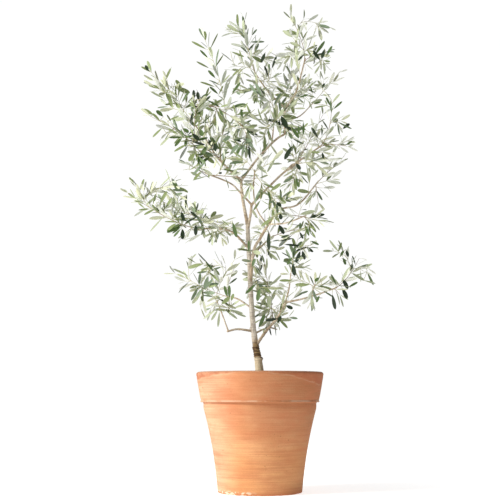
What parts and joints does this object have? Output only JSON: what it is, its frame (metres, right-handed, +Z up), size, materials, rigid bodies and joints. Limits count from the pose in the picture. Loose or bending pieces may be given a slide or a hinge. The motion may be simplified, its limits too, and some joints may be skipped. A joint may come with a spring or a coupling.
{
  "type": "potted olive tree",
  "caption": "Young olive tree in a flared terracotta pot: slender forked trunk, thin boughs and an open, airy crown of narrow grey-green leaves, standing on the pot's flat underside.",
  "frame": {"origin": "middle of the pot's flat underside, which is the level that the pot stands on", "axes": "+Z up along the pot's axis, -Y towards the front, +X to the right seen from the front"},
  "size_m": [0.8185, 0.4378, 1.5657],
  "materials": {
    "terracotta": "matte",
    "soil": "matte",
    "bark": "matte",
    "young_bark": "matte",
    "leaf": "satin"
  },
  "bodies": {
    "root": {"pot": "terracotta", "soil": "soil", "trunk": "bark", "central_bough": "young_bark", "cross_bough": "young_bark", "crown_rear_bough": "young_bark", "crown_stem": "young_bark", "east_bough": "young_bark", "east_rear_bough": "young_bark", "far_left_bough": "young_bark", "inner_riser": "young_bark", "left_leader": "young_bark", "left_mid_bough": "young_bark", "left_rear_bough": "young_bark", "low_back_bough": "young_bark", "low_left_bough": "young_bark", "low_left_riser": "young_bark", "low_rear_left": "young_bark", "low_right_bough": "young_bark", "low_right_reach": "young_bark", "low_right_riser": "young_bark", "mid_right_bough": "young_bark", "reach_riser": "young_bark", "rear_left_bough": "young_bark", "rear_low_bough": "young_bark", "right_leader": "young_bark", "right_stem": "young_bark", "right_stem_lower": "young_bark", "right_stem_upper": "young_bark", "second_stem": "young_bark", "sprig_bough": "young_bark", "tall_left_stem": "young_bark", "top_left_bough": "young_bark", "top_right_bough": "young_bark", "upper_left_bough": "young_bark", "foliage_centre_front": "leaf", "foliage_cross_spray": "leaf", "foliage_crown_rear": "leaf", "foliage_far_right": "leaf", "foliage_left_mid": "leaf", "foliage_left_mid_rear": "leaf", "foliage_low_centre": "leaf", "foliage_low_left": "leaf", "foliage_low_left_rear": "leaf", "foliage_mid_right": "leaf", "foliage_reach_spray": "leaf", "foliage_rear_low": "leaf", "foliage_right_hanging": "leaf", "foliage_right_lower": "leaf", "foliage_right_rear": "leaf", "foliage_right_riser": "leaf", "foliage_right_sprig": "leaf", "foliage_right_upper": "leaf", "foliage_second_top": "leaf", "foliage_tall_left_shoot": "leaf", "foliage_top_middle": "leaf", "foliage_top_right": "leaf", "foliage_upper_left_heart": "leaf", "foliage_upper_left_rear": "leaf", "foliage_upper_left_tip": "leaf"}
  },
  "joints": []
}
